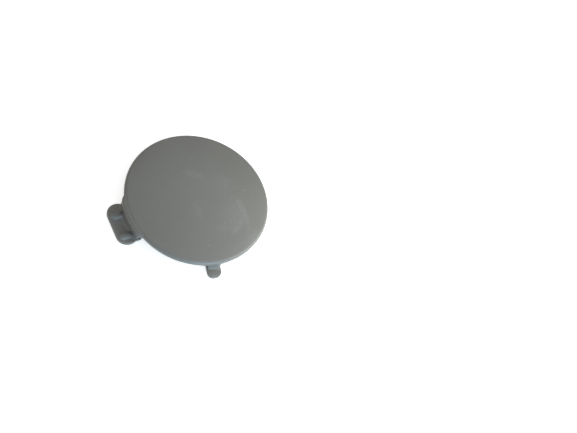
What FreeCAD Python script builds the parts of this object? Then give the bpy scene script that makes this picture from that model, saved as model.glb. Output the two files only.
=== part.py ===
import FreeCAD, Part
import math
import os
import Sketcher

# Cover for the tow eye opening of a car bumper, moulded in one piece of plastic.
# The origin is the centre of the flange's seating plane, +Z points out through the
# face and +X points to the wide tab. Lengths are in millimetres, angles in degrees.

sizes = {
    "face_diameter": 66.0,      # outside of the round face
    "cap_height": 3.4,          # middle of the face above the seating plane
    "crown_radius": 620.0,      # gentle dome of the face
    "edge_radius": 1.5,         # soft edge of the face
    "skin_thickness": 2.0,      # at the middle of the face, whose underside is flat
    "flange_width": 4.0,        # from the edge of the face in to the locating wall
    "wall_thickness": 1.7,
    "wall_taper": 0.2,          # each side of the wall slopes in by this much
    "root_break": 0.5,          # inside corner between the skin and the wall
    "rim_break": 0.35,          # lower edge of the flange and end of the wall
    "panel_gap": 3.4,           # room for the bumper skin between flange and hooks
    "foot_thickness": 2.0,      # foot of the tab and of the clip
    "foot_ledge": 0.28,         # foot stands out from each side of its leg by this much
    "foot_break": 0.2,          # edges of those feet
    "tab_width": 19.0,
    "tab_waist": 0.6,           # each side of the foot draws in by this much at the leg
    "tab_projection": 6.8,      # tab's free edge beyond the face
    "tab_corner": 4.5,          # plan radius of the tab's corners
    "tab_leg": 2.2,             # thickness of the tab's leg
    "tab_fillet": 1.3,          # between the leg and the foot
    "shoulder_reach": 1.15,     # leg stands out from the face's edge by this much
    "shoulder_height": 2.35,    # top of the shoulder above the seating plane
    "shoulder_round": 1.3,      # soft top edge of the shoulder
    "neck_run": 1.8,            # shoulder fades into the rim over this width
    "tab_swell": 1.4,           # sides of the leg widen into the flange with this radius
    "rib_spacing": 9.8,         # between the two ribs on the tab
    "rib_width": 3.4,
    "rib_height": 1.0,
    "rib_margin": 0.4,          # rib's end short of the tab's free edge
    "rib_offset": 0.8,          # both ribs sit this far off the tab's middle, towards the clip
    "gusset_thickness": 1.5,
    "gusset_rise": 1.4,         # gusset's foot above the end of the wall
    "clip_angle": 77.4,         # clip's bearing from the tab
    "clip_width": 6.2,
    "clip_projection": 4.5,
    "clip_nose": 0.8,           # straight part of the clip's free edge
    "clip_leg": 2.0,
    "clip_fillet": 0.8,
    "clip_swell": 0.6,
    "snap_width": 8.0,          # barb on the wall, opposite the tab and the clip
    "snap_reach": 1.2,          # barb stands out from the wall by this much
    "snap_land": 0.5,           # upright part of the barb above its lead-in
}
stations = 5                    # sections on each side of the shoulder's middle
overlap = 0.6                   # how deep a joined form reaches into its carrier
clearance = 1.0                 # how far a cut runs past what it trims
tolerance = 0.01                # how close an edge lies to the place it is looked for


class Size:
    # A length as a number and as the formula that keeps it tied to the sheet.
    def __init__(self, number, formula):
        self.number = number
        self.formula = formula

    def join(self, other, sign, number):
        return Size(number, f"({self.formula} {sign} {as_size(other).formula})")

    def __add__(self, other):
        return self.join(other, "+", self.number + as_size(other).number)

    def __sub__(self, other):
        return self.join(other, "-", self.number - as_size(other).number)

    def __mul__(self, other):
        return self.join(other, "*", self.number * as_size(other).number)

    def __truediv__(self, other):
        return self.join(other, "/", self.number / as_size(other).number)

    def __neg__(self):
        return Size(-self.number, f"(0 - {self.formula})")


def as_size(value):
    return value if isinstance(value, Size) else Size(value, repr(value))


def root(value):
    return Size(math.sqrt(value.number), f"sqrt({value.formula})")


def beside(radius, offset):
    # Distance out along a hook's own axis of a circle's point that lies offset from it.
    return root(radius * radius - offset * offset)


doc = FreeCAD.newDocument("tow_hook_cover")
sheet = doc.addObject("Spreadsheet::Sheet", "dims")
for row, (alias, number) in enumerate(sizes.items(), start=1):
    sheet.set(f"A{row}", alias)
    sheet.set(f"B{row}", str(number))
    sheet.setAlias(f"B{row}", alias)
doc.recompute()
size = {alias: Size(number, f"dims.{alias}") for alias, number in sizes.items()}

face_radius = size["face_diameter"] / 2
wall_radius = face_radius - size["flange_width"]
hook_depth = size["panel_gap"] + size["foot_thickness"]
zero = as_size(0.0)

body = doc.addObject("PartDesign::Body", "tow_hook_cover")
body.Label = "tow_hook_cover"
body.Placement = FreeCAD.Placement()


def origin_plane(role):
    return [plane for plane in body.Origin.OriginFeatures if plane.Role == role][0]


def new_sketch(name, role, turn=zero, lift=zero):
    # A sketch on one of the body's planes, turned about the cover's axis, then lifted off it.
    upright = role != "XY_Plane"
    axis = FreeCAD.Vector(0, 1, 0) if upright else FreeCAD.Vector(0, 0, 1)
    rotation = FreeCAD.Rotation(axis, turn.number)
    offset = rotation.multVec(FreeCAD.Vector(0, 0, lift.number))
    sketch = body.newObject("Sketcher::SketchObject", name)
    sketch.AttachmentSupport = [(origin_plane(role), "")]
    sketch.MapMode = "FlatFace"
    sketch.AttachmentOffset = FreeCAD.Placement(offset, rotation)
    if turn is not zero:
        sketch.setExpression("AttachmentOffset.Rotation.Angle", turn.formula)
    if lift is not zero:
        ahead = f"cos({turn.formula})" if upright else "1"
        aside = f"sin({turn.formula})" if upright else "0"
        sketch.setExpression("AttachmentOffset.Base.z", f"{lift.formula} * {ahead}")
        sketch.setExpression("AttachmentOffset.Base.x", f"{lift.formula} * {aside}")
    return sketch


def tie(sketch, kind, *items):
    # One dimension, bound to its formula. The last item is its size.
    constraint = sketch.addConstraint(Sketcher.Constraint(kind, *items[:-1], items[-1].number))
    sketch.setExpression(f"Constraints[{constraint}]", items[-1].formula)


def place(sketch, edge, end, point):
    # Fixes an edge's end at a point, on an axis where its coordinate is zero.
    origin, x_axis, y_axis = (-1, 1), -1, -2
    for kind, value, axis in (("DistanceX", point[0], y_axis), ("DistanceY", point[1], x_axis)):
        if value is zero:
            sketch.addConstraint(Sketcher.Constraint("PointOnObject", edge, end, axis))
        else:
            tie(sketch, kind, *origin, edge, end, value)


def draw(sketch, start, steps):
    # A closed outline. A step is the next corner, or the next corner with its arc's centre,
    # radius and turning sense.
    corner = start
    edges = []
    for step in steps + [(start,)]:
        first = FreeCAD.Vector(corner[0].number, corner[1].number, 0)
        last = FreeCAD.Vector(step[0][0].number, step[0][1].number, 0)
        if len(step) == 1:
            edges.append((sketch.addGeometry(Part.LineSegment(first, last), False), 1, 2))
        else:
            centre = FreeCAD.Vector(step[1][0].number, step[1][1].number, 0)
            circle = Part.Circle(centre, FreeCAD.Vector(0, 0, 1), step[2].number)
            ends = (first, last) if step[3] == "left" else (last, first)
            angles = [math.atan2(end.y - centre.y, end.x - centre.x) for end in ends]
            arc = sketch.addGeometry(Part.ArcOfCircle(circle, *angles), False)
            edges.append((arc, 1, 2) if step[3] == "left" else (arc, 2, 1))
            tie(sketch, "Radius", arc, step[2])
        corner = step[0]
    for index, (edge, begin, end) in enumerate(edges):
        place(sketch, edge, begin, ([start] + [step[0] for step in steps])[index])
        follower, follower_begin, _ = edges[(index + 1) % len(edges)]
        sketch.addConstraint(Sketcher.Constraint("Coincident", edge, end, follower, follower_begin))


def add(kind, name, profile, **settings):
    # A feature on a profile. Sizes among the settings are bound to their formulas.
    feature = body.newObject(f"PartDesign::{kind}", name)
    feature.Profile = profile
    for key, value in settings.items():
        if isinstance(value, Size):
            setattr(feature, key, value.number)
            feature.setExpression(key, value.formula)
        else:
            setattr(feature, key, value)
    body.Tip = feature
    doc.recompute()
    return feature


def treat_edges(kind, name, amount, test):
    # A Fillet or a Chamfer on every edge of the body so far that passes the test.
    base = body.Tip
    picked = [f"Edge{index}" for index, edge in enumerate(base.Shape.Edges, start=1)
              if not edge.Degenerated and test(edge)]
    if not picked:
        raise RuntimeError(f"no edge found for {name}")
    feature = body.newObject(f"PartDesign::{kind}", name)
    feature.Base = (base, picked)
    amount_name = {"Fillet": "Radius", "Chamfer": "Size"}[kind]
    setattr(feature, amount_name, amount.number)
    feature.setExpression(amount_name, amount.formula)
    body.Tip = feature
    doc.recompute()


def level(edge, height):
    # True where the edge lies at that height, judged at its ends and its middle.
    middle = (edge.FirstParameter + edge.LastParameter) / 2
    spots = [edge.valueAt(spot) for spot in (edge.FirstParameter, middle, edge.LastParameter)]
    return all(abs(spot.z - height) < tolerance for spot in spots)


def cap():
    # Domed skin, soft edge, flat flange and tapered locating wall, turned as one profile.
    edge = size["edge_radius"]
    crown = size["crown_radius"]
    crown_centre = size["cap_height"] - crown
    round_x = face_radius - edge
    round_z = crown_centre + beside(crown - edge, round_x)
    rim = (crown_centre + (round_z - crown_centre) * crown / (crown - edge))
    rim_x = round_x * crown / (crown - edge)
    taper = size["wall_taper"]
    rim_break = size["rim_break"]
    inner_x = wall_radius - size["wall_thickness"]
    underside = size["cap_height"] - size["skin_thickness"]
    root_break = size["root_break"]
    sketch = new_sketch("cap_profile", "XZ_Plane")
    draw(sketch, (zero, size["cap_height"]), [
        ((rim_x, rim), (zero, crown_centre), crown, "right"),
        ((face_radius, round_z), (round_x, round_z), edge, "right"),
        ((face_radius, rim_break),),
        ((face_radius - rim_break, zero),),
        ((wall_radius, zero),),
        ((wall_radius - taper, rim_break - hook_depth),),
        ((wall_radius - taper - rim_break, -hook_depth),),
        ((inner_x + taper + rim_break, -hook_depth),),
        ((inner_x + taper, rim_break - hook_depth),),
        ((inner_x, underside - root_break),),
        ((inner_x - root_break, underside),),
        ((zero, underside),),
    ])
    add("Revolution", "cap", sketch, ReferenceAxis=(sketch, ["V_Axis"]), Angle=360.0)


def leg_outline(sketch, inner, outer, top, fillet, soft):
    # Upright section of a hook's leg, from inside its foot to the top, with the fillet
    # on the foot and with the top edge rounded where soft isn't zero.
    foot_top = -size["panel_gap"]
    inside = foot_top - size["foot_thickness"] / 2
    steps = [
        ((outer + fillet, inside),),
        ((outer + fillet, foot_top),),
        ((outer, foot_top + fillet), (outer + fillet, foot_top + fillet), fillet, "right"),
    ]
    if soft is zero:
        steps += [((outer, top),)]
    else:
        steps += [
            ((outer, top - soft),),
            ((outer - soft, top), (outer - soft, top - soft), soft, "left"),
        ]
    draw(sketch, (inner, inside), steps + [((inner, top),)])


def leg_sides(name, side, swell, inner, outer, turn):
    # Cuts a leg's two sides upright, with a round corner where they meet the flange.
    far = side * 2 + clearance
    end = -hook_depth
    sketch = new_sketch(f"{name}_sides_outline", "YZ_Plane", turn, inner)
    for sign, sense in ((1, "right"), (-1, "left")):
        draw(sketch, (side * sign, end), [
            ((side * sign, -swell),),
            (((side + swell) * sign, zero), ((side + swell) * sign, -swell), swell, sense),
            ((far * sign, zero),),
            ((far * sign, end),),
        ])
    add("Pocket", f"{name}_sides", sketch, Length=outer - inner, Reversed=True)


def foot(name, width, waist, corner, inner, tip, turn):
    # Flat foot of a hook: straight free edge and round corners that draw in to the waist,
    # with its upper and its lower edge broken.
    side = width / 2
    neck = side - waist
    neck_start = tip - corner - beside(corner, corner - waist)
    back = beside(inner, neck)
    sketch = new_sketch(f"{name}_foot_outline", "XY_Plane", turn, -hook_depth)
    draw(sketch, (back, neck), [
        ((back, -neck), (zero, zero), inner, "right"),
        ((neck_start, -neck),),
        ((tip, corner - side), (tip - corner, corner - side), corner, "left"),
        ((tip, side - corner),),
        ((neck_start, neck), (tip - corner, side - corner), corner, "left"),
    ])
    add("Pad", f"{name}_foot", sketch, Length=size["foot_thickness"])
    angle = math.radians(turn.number)
    out = FreeCAD.Vector(math.cos(angle), math.sin(angle), 0)
    near = (tip - corner).number
    for part, height in (("top", -size["panel_gap"].number), ("bottom", -hook_depth.number)):
        treat_edges("Chamfer", f"{name}_{part}_edge", size["foot_break"],
                    lambda edge: level(edge, height) and edge.CenterOfMass.dot(out) > near)


def tab():
    # Shoulder and leg lofted round the rim, so that the shoulder swells out of the edge
    # of the face and fades back into it.
    side = size["tab_width"] / 2
    leg_outer = face_radius + size["shoulder_reach"]
    leg_inner = leg_outer - size["tab_leg"]
    tip = face_radius + size["tab_projection"]
    span = math.degrees(math.asin((side + size["neck_run"]).number / face_radius.number))
    full = math.degrees(math.asin((side - size["neck_run"]).number / face_radius.number))
    sections = []
    for station in range(-stations, stations + 1):
        angle = span * station / stations
        fade = min(1.0, (span - abs(angle)) / (span - full))
        swell = 0.5 - 0.5 * math.cos(math.pi * fade)
        outer = face_radius + (size["shoulder_reach"] + overlap / 2) * swell - overlap / 2
        sketch = new_sketch(f"tab_section_{station + stations}", "XZ_Plane", as_size(angle))
        leg_outline(sketch, leg_inner - clearance, outer, size["shoulder_height"],
                    size["tab_fillet"], size["shoulder_round"])
        sections.append(sketch)
    add("AdditiveLoft", "tab_leg", sections[0], Sections=sections[1:], Ruled=False)
    wall_edge = beside(wall_radius, side)
    loft_edge = (leg_inner - clearance) * math.cos(math.radians(span))
    leg_sides("tab", side - size["tab_waist"] - size["foot_ledge"], size["tab_swell"],
              (wall_edge + loft_edge) / 2, tip, zero)

    # The back of the leg is cut round, so that the leg keeps its thickness.
    beyond = side + clearance
    back = leg_inner - clearance - overlap
    sketch = new_sketch("tab_back_outline", "XY_Plane")
    draw(sketch, (beside(leg_inner, beyond), -beyond), [
        ((beside(leg_inner, beyond), beyond), (zero, zero), leg_inner, "left"),
        ((beside(back, beyond), beyond),),
        ((beside(back, beyond), -beyond), (zero, zero), back, "right"),
    ])
    add("Pocket", "tab_back", sketch, Length=hook_depth)
    foot("tab", size["tab_width"], size["tab_waist"], size["tab_corner"], leg_inner, tip, zero)


def tab_ribs():
    # Two half round ribs along the foot, which press on the back of the bumper.
    chord = size["rib_width"] / 2
    rise = size["rib_height"]
    radius = (chord * chord + rise * rise) / (rise * 2)
    start = face_radius + size["shoulder_reach"]
    end = face_radius + size["tab_projection"] - size["rib_margin"]
    axis_height = rise - size["panel_gap"] - radius
    half_spacing = size["rib_spacing"] / 2
    for name, aside in (("near", -half_spacing), ("far", half_spacing)):
        sketch = new_sketch(f"{name}_rib_profile", "XZ_Plane", lift=aside - size["rib_offset"])
        draw(sketch, (start, axis_height), [
            ((start, axis_height + radius),),
            ((end - radius, axis_height + radius),),
            ((end, axis_height), (end - radius, axis_height), radius, "right"),
        ])
        spine = sketch.addGeometry(Part.LineSegment(
            FreeCAD.Vector(start.number, axis_height.number, 0),
            FreeCAD.Vector(end.number, axis_height.number, 0)), True)
        sketch.addConstraint(Sketcher.Constraint("Coincident", spine, 1, 0, 1))
        sketch.addConstraint(Sketcher.Constraint("Coincident", spine, 2, 2, 1))
        add("Revolution", f"{name}_rib", sketch, ReferenceAxis=(sketch, ["Axis0"]), Angle=180.0,
            Midplane=True)


def mirror_across(name, feature):
    # The same feature on the other side of the cover's plane of symmetry.
    mirrored = body.newObject("PartDesign::Mirrored", name)
    mirrored.Originals = [feature]
    mirrored.MirrorPlane = (origin_plane("XZ_Plane"), [""])
    body.Tip = mirrored
    doc.recompute()


def gussets():
    # Two webs that brace the tab's leg from the locating wall.
    leg_inner = face_radius + size["shoulder_reach"] - size["tab_leg"]
    outer = beside(leg_inner, size["rib_spacing"] / 2 + size["gusset_thickness"]) + overlap
    inner = wall_radius - size["wall_thickness"] / 2
    end = size["gusset_rise"] - hook_depth
    top = as_size(overlap)
    sketch = new_sketch("gusset_profile", "XZ_Plane", lift=-size["rib_spacing"] / 2)
    draw(sketch, (inner, end), [((outer, end),), ((outer, top),), ((inner, top),)])
    web = add("Pad", "gusset", sketch, Length=size["gusset_thickness"], Midplane=True)
    mirror_across("gusset_pair", web)


def clip():
    # Narrow hook turned out of the flange at its bearing from the tab.
    bearing = size["clip_angle"]
    width = size["clip_width"]
    leg_inner = face_radius - size["clip_leg"]
    tip = face_radius + size["clip_projection"]
    half_angle = math.degrees(math.atan2(width.number, face_radius.number))
    sketch = new_sketch("clip_section", "XZ_Plane", bearing)
    leg_outline(sketch, leg_inner, face_radius, as_size(overlap), size["clip_fillet"], zero)
    add("Revolution", "clip_leg", sketch, ReferenceAxis=(sketch, ["V_Axis"]),
        Angle=half_angle * 2, Midplane=True)
    leg_sides("clip", width / 2 - size["foot_ledge"], size["clip_swell"],
              (wall_radius + leg_inner) / 2, tip, bearing)
    foot("clip", width, zero, (width - size["clip_nose"]) / 2, leg_inner, tip, bearing)


def snap():
    # Small barb on the locating wall, which grips the bumper across from the two hooks.
    inner = wall_radius - size["wall_thickness"] / 2
    outer = wall_radius + size["snap_reach"]
    land = -size["panel_gap"] - size["snap_land"]
    end = size["rim_break"] - hook_depth
    bearing = size["clip_angle"] / 2 + 180
    half_angle = math.degrees(math.asin((size["snap_width"] / 2).number / outer.number))
    sketch = new_sketch("snap_section", "XZ_Plane", bearing)
    draw(sketch, (inner, -size["panel_gap"]), [
        ((outer, -size["panel_gap"]),),
        ((outer, land),),
        ((wall_radius - size["wall_taper"], end),),
        ((inner, end),),
    ])
    add("Revolution", "snap_barb", sketch, ReferenceAxis=(sketch, ["V_Axis"]),
        Angle=half_angle * 2, Midplane=True)


cap()
tab()
tab_ribs()
gussets()
clip()
snap()

for feature in doc.Objects:
    if "Invalid" in feature.State or "Error" in feature.State:
        raise RuntimeError(f"{feature.Name} did not build: {feature.State}")

os.makedirs("parts", exist_ok=True)
for part in [body]:
    if part.Shape.isNull() or not part.Shape.isValid() or len(part.Shape.Solids) != 1:
        raise RuntimeError(f"{part.Label} is not one sound solid")
    part.Shape.exportStep(f"parts/{part.Label}.step")
    print(part.Label, round(part.Shape.Volume, 1))
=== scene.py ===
import bpy
import bmesh
import math
from mathutils import Matrix, Vector


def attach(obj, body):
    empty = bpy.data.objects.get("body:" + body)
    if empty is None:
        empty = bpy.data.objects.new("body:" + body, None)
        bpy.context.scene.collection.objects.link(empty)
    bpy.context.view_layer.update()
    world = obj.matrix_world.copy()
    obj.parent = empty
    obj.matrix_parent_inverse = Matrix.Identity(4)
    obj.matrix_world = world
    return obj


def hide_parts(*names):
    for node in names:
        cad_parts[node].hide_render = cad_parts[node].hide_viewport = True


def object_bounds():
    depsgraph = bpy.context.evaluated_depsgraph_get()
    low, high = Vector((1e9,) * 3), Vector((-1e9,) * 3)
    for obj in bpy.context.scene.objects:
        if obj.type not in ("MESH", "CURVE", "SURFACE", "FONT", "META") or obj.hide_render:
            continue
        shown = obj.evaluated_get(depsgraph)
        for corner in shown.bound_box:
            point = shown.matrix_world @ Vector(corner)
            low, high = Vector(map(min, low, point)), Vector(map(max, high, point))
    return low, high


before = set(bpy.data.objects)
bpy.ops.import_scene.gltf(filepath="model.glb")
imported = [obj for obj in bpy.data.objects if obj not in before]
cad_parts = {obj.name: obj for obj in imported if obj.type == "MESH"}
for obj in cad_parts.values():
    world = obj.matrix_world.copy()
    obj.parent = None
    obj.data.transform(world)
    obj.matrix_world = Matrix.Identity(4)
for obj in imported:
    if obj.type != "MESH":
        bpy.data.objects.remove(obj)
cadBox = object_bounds()
millimetre = 0.001
noiseMiddle = 0.5       # a noise texture lies about this


# Shader helpers: one wrapper for sockets, one method for nodes.

class Wire:
    def __init__(self, tree, socket):
        self.tree = tree
        self.socket = socket

    def maths(self, operation, first, second):
        node = self.tree.node("ShaderNodeMath", {"operation": operation}, {0: first, 1: second})
        return Wire(self.tree, node.outputs[0])

    def __add__(self, other):
        return self.maths("ADD", self, other)

    def __radd__(self, other):
        return self.maths("ADD", other, self)

    def __sub__(self, other):
        return self.maths("SUBTRACT", self, other)

    def __rsub__(self, other):
        return self.maths("SUBTRACT", other, self)

    def __mul__(self, other):
        return self.maths("MULTIPLY", self, other)

    def __rmul__(self, other):
        return self.maths("MULTIPLY", other, self)

    def above(self, other):
        return self.maths("MAXIMUM", self, other)


class NodeTree:
    def __init__(self, tree):
        self.tree = tree
        tree.nodes.clear()

    def node(self, kind, settings=None, values=None):
        made = self.tree.nodes.new(kind)
        for name, value in (settings or {}).items():
            setattr(made, name, value)
        for name, value in (values or {}).items():
            socket = made.inputs[name]
            if isinstance(value, Wire):
                self.tree.links.new(value.socket, socket)
            else:
                socket.default_value = value
        return made

    def out(self, kind, settings=None, values=None, output=0):
        return Wire(self, self.node(kind, settings, values).outputs[output])

    def noise(self, place, scale, detail, roughness=0.5, output=0):
        values = {"Vector": place, "Scale": scale, "Detail": detail, "Roughness": roughness}
        return self.out("ShaderNodeTexNoise", {"noise_dimensions": "3D"}, values, output)

    def fade(self, value, low, high, toLow=0.0, toHigh=1.0):
        # smooth step from low to high
        values = {"Value": value, "From Min": low, "From Max": high, "To Min": toLow, "To Max": toHigh}
        return self.out("ShaderNodeMapRange", {"interpolation_type": "SMOOTHSTEP"}, values)

    def blend(self, amount, first, second):
        # a Mix node's colour sockets share their names with others, so they go by number
        return self.out("ShaderNodeMix", {"data_type": "RGBA"}, {0: amount, 6: first, 7: second}, 2)

    def vector(self, operation, *values):
        output = "Value" if operation in ("DISTANCE", "LENGTH", "DOT_PRODUCT") else "Vector"
        return self.out("ShaderNodeVectorMath", {"operation": operation}, dict(enumerate(values)), output)

    def scaled(self, vector, factor):
        return self.out("ShaderNodeVectorMath", {"operation": "SCALE"}, {0: vector, "Scale": factor})


def seenAsBackground(tree):
    # 1 where the camera sees it, straight on or mirrored in metal or glass
    path = tree.node("ShaderNodeLightPath")
    seen = Wire(tree, path.outputs["Is Camera Ray"])
    for name in ("Is Glossy Ray", "Is Transmission Ray"):
        seen = seen.above(Wire(tree, path.outputs[name]))
    return seen


def newMaterial(name):
    material = bpy.data.materials.new(name)
    material.use_nodes = True
    return material, NodeTree(material.node_tree)


# Primed plastic of the cover.

primer = {
    "grey": (0.150, 0.152, 0.141, 1.0),
    "paleGrey": (0.163, 0.165, 0.153, 1.0),
    "dust": (0.340, 0.345, 0.340, 1.0),
    "refraction": 1.46,
    "roughness": 0.45,
    "peelRoughness": 0.10,     # how far the orange peel moves the roughness
    "dustRoughness": 0.25,     # added where dust or a scuff lies
    "cloudScale": 0.035,       # this and the other scales are per millimetre
    "mottleScale": 0.45,
    "greyDetail": 3.0,
    "greyFade": (0.3, 0.7),    # noise below and above these is all grey or all pale grey
    "cloudShare": 0.6,         # the rest of the change of grey is mottle
    "peelScale": 1.1,
    "peelDetail": 2.0,
    "peelDepth": 0.012,        # this and the other depths are in millimetres
    "grainScale": 5.0,
    "grainDetail": 1.0,
    "grainDepth": 0.0036,
    "waveScale": 0.07,
    "waveDetail": 1.0,
    "waveDepth": 0.03,
    "faceHeights": (1.5, 2.0),     # the marks fade in between these heights
    "raggedScale": 0.35,
    "raggedDetail": 3.0,
    "raggedReach": 2.6,            # noise shifts the marks by up to half of this
    "streakScale": 0.35,
    "streakDetail": 4.0,
    "streakRoughness": 0.55,
    "streakFade": (0.22, 0.60),
    # rubbed spots on the face: centre, half width and half length along x and y, strength
    "patches": [
        ((-9.5, 14.0), (9.0, 11.0), 0.10),
        ((-13.0, 18.0), (5.5, 6.0), 0.07),
        ((-12.2, -2.4), (9.0, 6.8), 0.08),
    ],
    "paleCentre": ((0.0, 0.0), (34.0, 31.0), 0.075),      # one even oval, palest at the face's centre and fading out at its rim
    # light scuffs: start, end, half width, strength
    "scuffs": [
        ((-7.6, 0.3), (-15.3, 9.0), 2.4, 0.05),
        ((-15.3, 9.0), (-15.1, 15.6), 2.8, 0.21),
        ((-15.1, 15.6), (-14.3, 21.0), 2.6, 0.12),
        ((-15.1, 15.6), (-6.6, 21.3), 3.0, 0.15),
        ((-6.6, 21.3), (-0.4, 16.8), 2.6, 0.09),
        ((4.6, 3.0), (5.6, 9.3), 2.8, 0.07),
        ((1.2, -11.8), (-3.6, -8.9), 2.6, 0.10),
    ],
    # dust specks: centre, radius, strength
    "specks": [
        ((-4.1, 16.5), 0.6, 0.30), ((7.4, 23.6), 0.6, 0.34), ((-20.8, 3.8), 0.7, 0.30),
        ((-21.4, -2.3), 0.6, 0.14), ((22.0, -11.5), 0.6, 0.12), ((-17.1, 21.4), 0.6, 0.14),
    ],
}


def softPatch(tree, place, centre, reach, strength):
    # the strength at an oval's centre, falling to 0 at its edge
    offset = tree.vector("SUBTRACT", place, (*centre, 0.0))
    share = tree.vector("LENGTH", tree.vector("DIVIDE", offset, (*reach, 1.0)))
    return tree.fade(share, 1.0, 0.0, 0.0, strength)


def alongLine(tree, place, start, end, width):
    # 1 on a line across the face, 0 from the width on
    run = Vector((*end, 0.0)) - Vector((*start, 0.0))
    offset = tree.vector("SUBTRACT", place, (*start, 0.0))
    share = tree.vector("DOT_PRODUCT", offset, tuple(run / run.length_squared))
    share = tree.out("ShaderNodeClamp", None, {"Value": share})
    foot = tree.scaled(tuple(run), share)
    return tree.fade(tree.vector("DISTANCE", offset, foot), width, 0.0)


def greyPaint(tree, place, p):
    clouds = tree.fade(tree.noise(place, p["cloudScale"], p["greyDetail"]), *p["greyFade"])
    mottle = tree.fade(tree.noise(place, p["mottleScale"], p["greyDetail"]), *p["greyFade"])
    amount = clouds * p["cloudShare"] + mottle * (1 - p["cloudShare"])
    return tree.blend(amount, p["grey"], p["paleGrey"])


def faceMarks(tree, place, p):
    # drawn on the face's plan, the scuffs pushed about a little by noise
    flat = tree.vector("MULTIPLY", place, (1.0, 1.0, 0.0))
    push = tree.noise(flat, p["raggedScale"], p["raggedDetail"], output="Color")
    push = tree.vector("SUBTRACT", push, (noiseMiddle, noiseMiddle, noiseMiddle))
    ragged = tree.vector("MULTIPLY_ADD", push, (p["raggedReach"], p["raggedReach"], 0.0), flat)
    rubbed = 0.0
    for patch in p["patches"]:
        rubbed = rubbed + softPatch(tree, ragged, *patch)
    for begin, end, width, strength in p["scuffs"]:
        rubbed = rubbed.above(alongLine(tree, ragged, begin, end, width) * strength)
    streaks = tree.noise(flat, p["streakScale"], p["streakDetail"], p["streakRoughness"])
    marks = rubbed * tree.fade(streaks, *p["streakFade"])
    for centre, radius, strength in p["specks"]:
        marks = marks + softPatch(tree, flat, centre, (radius, radius), strength)
    height = tree.out("ShaderNodeSeparateXYZ", None, {"Vector": place}, "Z")
    return (marks + softPatch(tree, flat, *p["paleCentre"])) * tree.fade(height, *p["faceHeights"])


def primedPlastic(p):
    material, tree = newMaterial("primedPlastic")
    place = tree.scaled(tree.out("ShaderNodeTexCoord", output="Object"), 1 / millimetre)
    marks = faceMarks(tree, place, p)
    peel = tree.noise(place, p["peelScale"], p["peelDetail"])
    grain = tree.noise(place, p["grainScale"], p["grainDetail"])
    waves = tree.noise(place, p["waveScale"], p["waveDetail"])
    height = peel * p["peelDepth"] + grain * p["grainDepth"] + waves * p["waveDepth"]
    shader = tree.out("ShaderNodeBsdfPrincipled", None, {
        "Base Color": tree.blend(marks, greyPaint(tree, place, p), p["dust"]),
        "Roughness": p["roughness"] + (peel - noiseMiddle) * p["peelRoughness"] + marks * p["dustRoughness"],
        "Normal": tree.out("ShaderNodeBump", None, {"Distance": millimetre, "Height": height}),
        "IOR": p["refraction"],
    })
    tree.node("ShaderNodeOutputMaterial", None, {"Surface": shader})
    return material


# The moulded cover itself.

moulding = {
    "node": "tow_hook_cover",
    "mergeDistance": 0.002 * millimetre,
    "flatAngle": math.radians(0.4),        # facets closer than this are one face
    "softWidth": 0.12 * millimetre,
    "softSegments": 2,
    "creaseAngle": math.radians(28),       # edges sharper than this are softened
}


def mouldedCover(p, material):
    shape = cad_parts[p["node"]].data.copy()
    shape.materials.clear()
    mesh = bmesh.new()
    mesh.from_mesh(shape)
    bmesh.ops.remove_doubles(mesh, verts=mesh.verts, dist=p["mergeDistance"])
    bmesh.ops.dissolve_limit(mesh, angle_limit=p["flatAngle"], verts=mesh.verts, edges=mesh.edges)
    bmesh.ops.recalc_face_normals(mesh, faces=mesh.faces)
    for face in mesh.faces:
        face.smooth = True
    mesh.to_mesh(shape)
    mesh.free()
    cover = bpy.data.objects.new("mouldedCover", shape)
    bpy.context.scene.collection.objects.link(cover)
    soft = cover.modifiers.new("softEdges", "BEVEL")
    soft.width = p["softWidth"]
    soft.segments = p["softSegments"]
    soft.limit_method = "ANGLE"
    soft.angle_limit = p["creaseAngle"]
    soft.harden_normals = True
    graph = bpy.context.evaluated_depsgraph_get()
    finished = bpy.data.meshes.new_from_object(cover.evaluated_get(graph))
    cover.modifiers.remove(soft)
    cover.data = finished
    cover.data.materials.append(material)
    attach(cover, "root")
    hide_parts(p["node"])


# Floor, light and camera.

studio = {
    "cameraPlace": (78.549, 69.001, 173.102),      # millimetres
    "cameraRight": (-0.78788, 0.46036, 0.40903),
    "cameraUp": (-0.28396, -0.86096, 0.42203),
    "focalPixels": 430,
    "picturePixels": 577,                # width of the picture
    "sensorWidth": 36,                   # millimetres
    "nearLimit": 5,
    "floorGap": 0.02,                    # keeps the floor off the feet
    "floorReach": 2000.0,
    "floorColour": (0.93, 0.93, 0.93, 1.0),
    "floorGlow": (0.62, 0.62, 0.62, 1.0),    # keeps the floor white beside the shadow
    "floorRoughness": 0.9,
    "skyTowards": (0.85, 0.25, 0.35),    # brighter side, as shares of the camera's axes
    "skyFade": (-0.9, 0.9),
    "skyDark": (0.38, 0.315, 0.24, 1.0),
    "skyBright": (0.55, 0.57, 0.59, 1.0),
    "black": (0.0, 0.0, 0.0, 1.0),
    "white": (1.0, 1.0, 1.0, 1.0),
}
lamps = {
    # towards the lamp as shares of the camera's axes; distance and size in millimetres, power in watts
    "keyLamp": {
        "towards": (0.98, -0.12, 0.17), "distance": 125, "size": 110,
        "power": 0.165, "colour": (1.0, 1.0, 0.95),
    },
    "lowLamp": {
        "towards": (0.45, -0.88, 0.45), "distance": 240, "size": 110,
        "power": 0.35, "colour": (0.44, 0.72, 1.0),
    },
    "sideLamp": {
        "towards": (-0.69, -0.18, 0.75), "distance": 300, "size": 150,
        "power": 0.03, "colour": (1.0, 0.90, 0.80),
    },
}


def cameraAxes(p):
    right, up = Vector(p["cameraRight"]), Vector(p["cameraUp"])
    return right, up, right.cross(up)


def fromCamera(p, shares):
    # the direction that the shares of the camera's right, up and back give
    return sum((axis * share for axis, share in zip(cameraAxes(p), shares)), Vector()).normalized()


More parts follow.
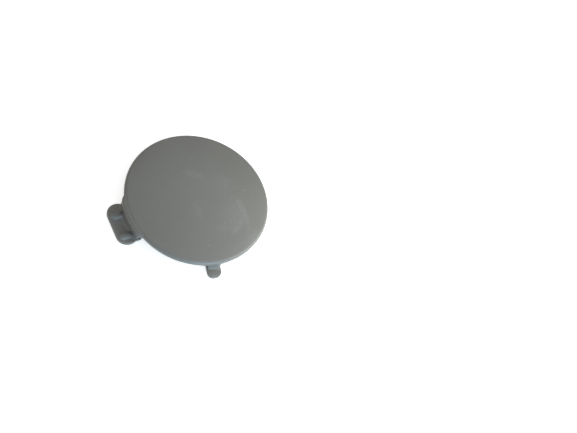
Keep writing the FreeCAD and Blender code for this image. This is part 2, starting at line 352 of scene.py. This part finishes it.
def setFloor(p):
    reach = p["floorReach"] * millimetre
    height = cadBox[0][2] - p["floorGap"] * millimetre
    mesh = bpy.data.meshes.new("paleFloor")
    corners = [(x * reach, y * reach, height) for x, y in ((-1, -1), (1, -1), (1, 1), (-1, 1))]
    mesh.from_pydata(corners, [], [(0, 1, 2, 3)])
    floor = bpy.data.objects.new("paleFloor", mesh)
    bpy.context.scene.collection.objects.link(floor)
    material, tree = newMaterial("paleFloor")
    glow = tree.blend(seenAsBackground(tree), p["black"], p["floorGlow"])
    shader = tree.out("ShaderNodeBsdfPrincipled", None, {
        "Base Color": p["floorColour"], "Roughness": p["floorRoughness"], "Specular IOR Level": 0.0,
        "Emission Color": glow, "Emission Strength": 1.0,
    })
    tree.node("ShaderNodeOutputMaterial", None, {"Surface": shader})
    mesh.materials.append(material)


def setSky(p):
    world = bpy.data.worlds.new("paleSky")
    bpy.context.scene.world = world
    world.use_nodes = True
    tree = NodeTree(world.node_tree)
    direction = tree.out("ShaderNodeTexCoord", output="Generated")
    side = tree.vector("DOT_PRODUCT", direction, tuple(fromCamera(p, p["skyTowards"])))
    colour = tree.blend(tree.fade(side, *p["skyFade"]), p["skyDark"], p["skyBright"])
    colour = tree.blend(seenAsBackground(tree), colour, p["white"])
    background = tree.out("ShaderNodeBackground", None, {"Color": colour})
    tree.node("ShaderNodeOutputWorld", None, {"Surface": background})


def setLamps(p, lamps):
    for name, lamp in lamps.items():
        towards = fromCamera(p, lamp["towards"])
        light = bpy.data.lights.new(name, "AREA")
        light.shape = "DISK"
        light.size = lamp["size"] * millimetre
        light.energy = lamp["power"]
        light.color = lamp["colour"]
        holder = bpy.data.objects.new(name, light)
        holder.location = towards * lamp["distance"] * millimetre
        holder.rotation_euler = towards.to_track_quat("Z", "Y").to_euler()
        holder.visible_camera = False
        bpy.context.scene.collection.objects.link(holder)


def setCamera(p):
    camera = bpy.data.objects.new("camera", bpy.data.cameras.new("camera"))
    camera.data.lens = p["focalPixels"] / p["picturePixels"] * p["sensorWidth"]
    camera.data.sensor_width = p["sensorWidth"]
    camera.data.clip_start = p["nearLimit"] * millimetre
    axes = Matrix(cameraAxes(p)).transposed()
    camera.matrix_world = Matrix.LocRotScale(Vector(p["cameraPlace"]) * millimetre, axes, None)
    bpy.context.scene.collection.objects.link(camera)
    bpy.context.scene.camera = camera


setFloor(studio)
setSky(studio)
setLamps(studio, lamps)
setCamera(studio)
print("studio ready")
mouldedCover(moulding, primedPlastic(primer))
print("cover ready")

bpy.context.scene.view_settings.view_transform = "Standard"
